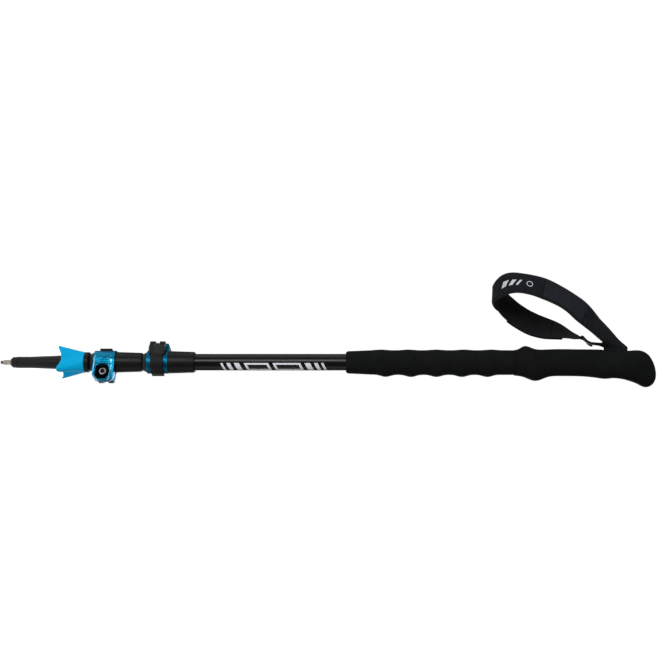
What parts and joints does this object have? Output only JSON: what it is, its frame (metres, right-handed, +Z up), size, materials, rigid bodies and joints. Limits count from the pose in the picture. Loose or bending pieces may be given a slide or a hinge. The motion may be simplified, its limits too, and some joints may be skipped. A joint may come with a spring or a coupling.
{
  "type": "telescopic ski pole",
  "caption": "Telescopic ski pole in collapsed form, with cam lever clamps, lobed basket, carbide tip, foam grip with extension and a webbing wrist strap.",
  "frame": {"origin": "end of the carbide point, on the shaft's axis", "axes": "+Z up the shaft towards the grip; +X towards the nose of the grip's head, so the strap is on the -X side; +Y completes a right-handed frame"},
  "size_m": [0.1223, 0.0648, 0.7],
  "materials": {
    "tube": "gloss black lacquer on aluminium",
    "grip_foam": "matt closed-cell foam",
    "core_plastic": "moulded nylon",
    "clamp_plastic": "satin moulded nylon",
    "lever_plastic": "fine-grained glass-filled nylon",
    "pad_plastic": "smooth acetal",
    "guide_plastic": "grey nylon",
    "ferrule_plastic": "satin moulded nylon",
    "anodised_blue": "blue anodised, polished edges",
    "basket_plastic": "satin moulded blue polyethylene",
    "steel": "turned steel",
    "bolt_steel": "zinc-plated steel",
    "holder_steel": "turned steel, warm tone",
    "carbide": "ground tungsten carbide",
    "webbing": "black woven polyester webbing"
  },
  "bodies": {
    "upper_section": {"upper_tube": "tube", "grip": "grip_foam", "grip_extension": "grip_foam", "grip_core": "core_plastic", "strap_pin": "steel", "strap_wedge": "core_plastic", "strap_ends": "webbing", "upper_clamp_sleeve": "clamp_plastic", "upper_clamp_body": "anodised_blue", "upper_clamp_pad": "pad_plastic", "upper_clamp_barrel": "steel"},
    "upper_lever": {"upper_clamp_lever": "lever_plastic"},
    "upper_bolt": {"upper_clamp_bolt": "bolt_steel"},
    "strap": {"strap_loop": "webbing"},
    "middle_section": {"middle_tube": "tube", "middle_guide": "guide_plastic", "lower_clamp_sleeve": "clamp_plastic", "lower_clamp_body": "anodised_blue", "lower_clamp_pad": "pad_plastic", "lower_clamp_barrel": "steel"},
    "lower_lever": {"lower_clamp_lever": "lever_plastic"},
    "lower_bolt": {"lower_clamp_bolt": "bolt_steel"},
    "lower_section": {"lower_tube": "tube", "lower_guide": "guide_plastic", "ferrule": "ferrule_plastic", "tip_holder": "holder_steel", "tip_point": "carbide"},
    "basket": {"basket": "basket_plastic"}
  },
  "joints": [
    {"name": "middle_slide", "type": "slide", "parent": "upper_section", "child": "middle_section", "axis": [0, 0, -1], "range_m": [0, 0.37]},
    {"name": "lower_slide", "type": "slide", "parent": "middle_section", "child": "lower_section", "axis": [0, 0, -1], "range_m": [0, 0.37]},
    {"name": "upper_lever_hinge", "type": "hinge", "parent": "upper_section", "child": "upper_lever", "pos_m": [-0.01749, -0.00343, 0.1685], "axis": [0, 0, -1], "range_deg": [0, 140]},
    {"name": "lower_lever_hinge", "type": "hinge", "parent": "middle_section", "child": "lower_lever", "pos_m": [0.01749, 0.00343, 0.1125], "axis": [0, 0, -1], "range_deg": [0, 140]},
    {"name": "upper_bolt_turn", "type": "hinge", "parent": "upper_section", "child": "upper_bolt", "pos_m": [-0.01305, 0.00609, 0.1685], "axis": [-0.4226, -0.9063, 0], "continuous": true},
    {"name": "lower_bolt_turn", "type": "hinge", "parent": "middle_section", "child": "lower_bolt", "pos_m": [0.01305, -0.00609, 0.1125], "axis": [0.4226, 0.9063, 0], "continuous": true},
    {"name": "basket_slide", "type": "slide", "parent": "lower_section", "child": "basket", "axis": [0, 0, -1], "range_m": [0, 0.075]},
    {"name": "strap_swing", "type": "hinge", "parent": "upper_section", "child": "strap", "pos_m": [-0.0162, 0, 0.6575], "axis": [0, 0, 1], "range_deg": [-25, 45]}
  ]
}
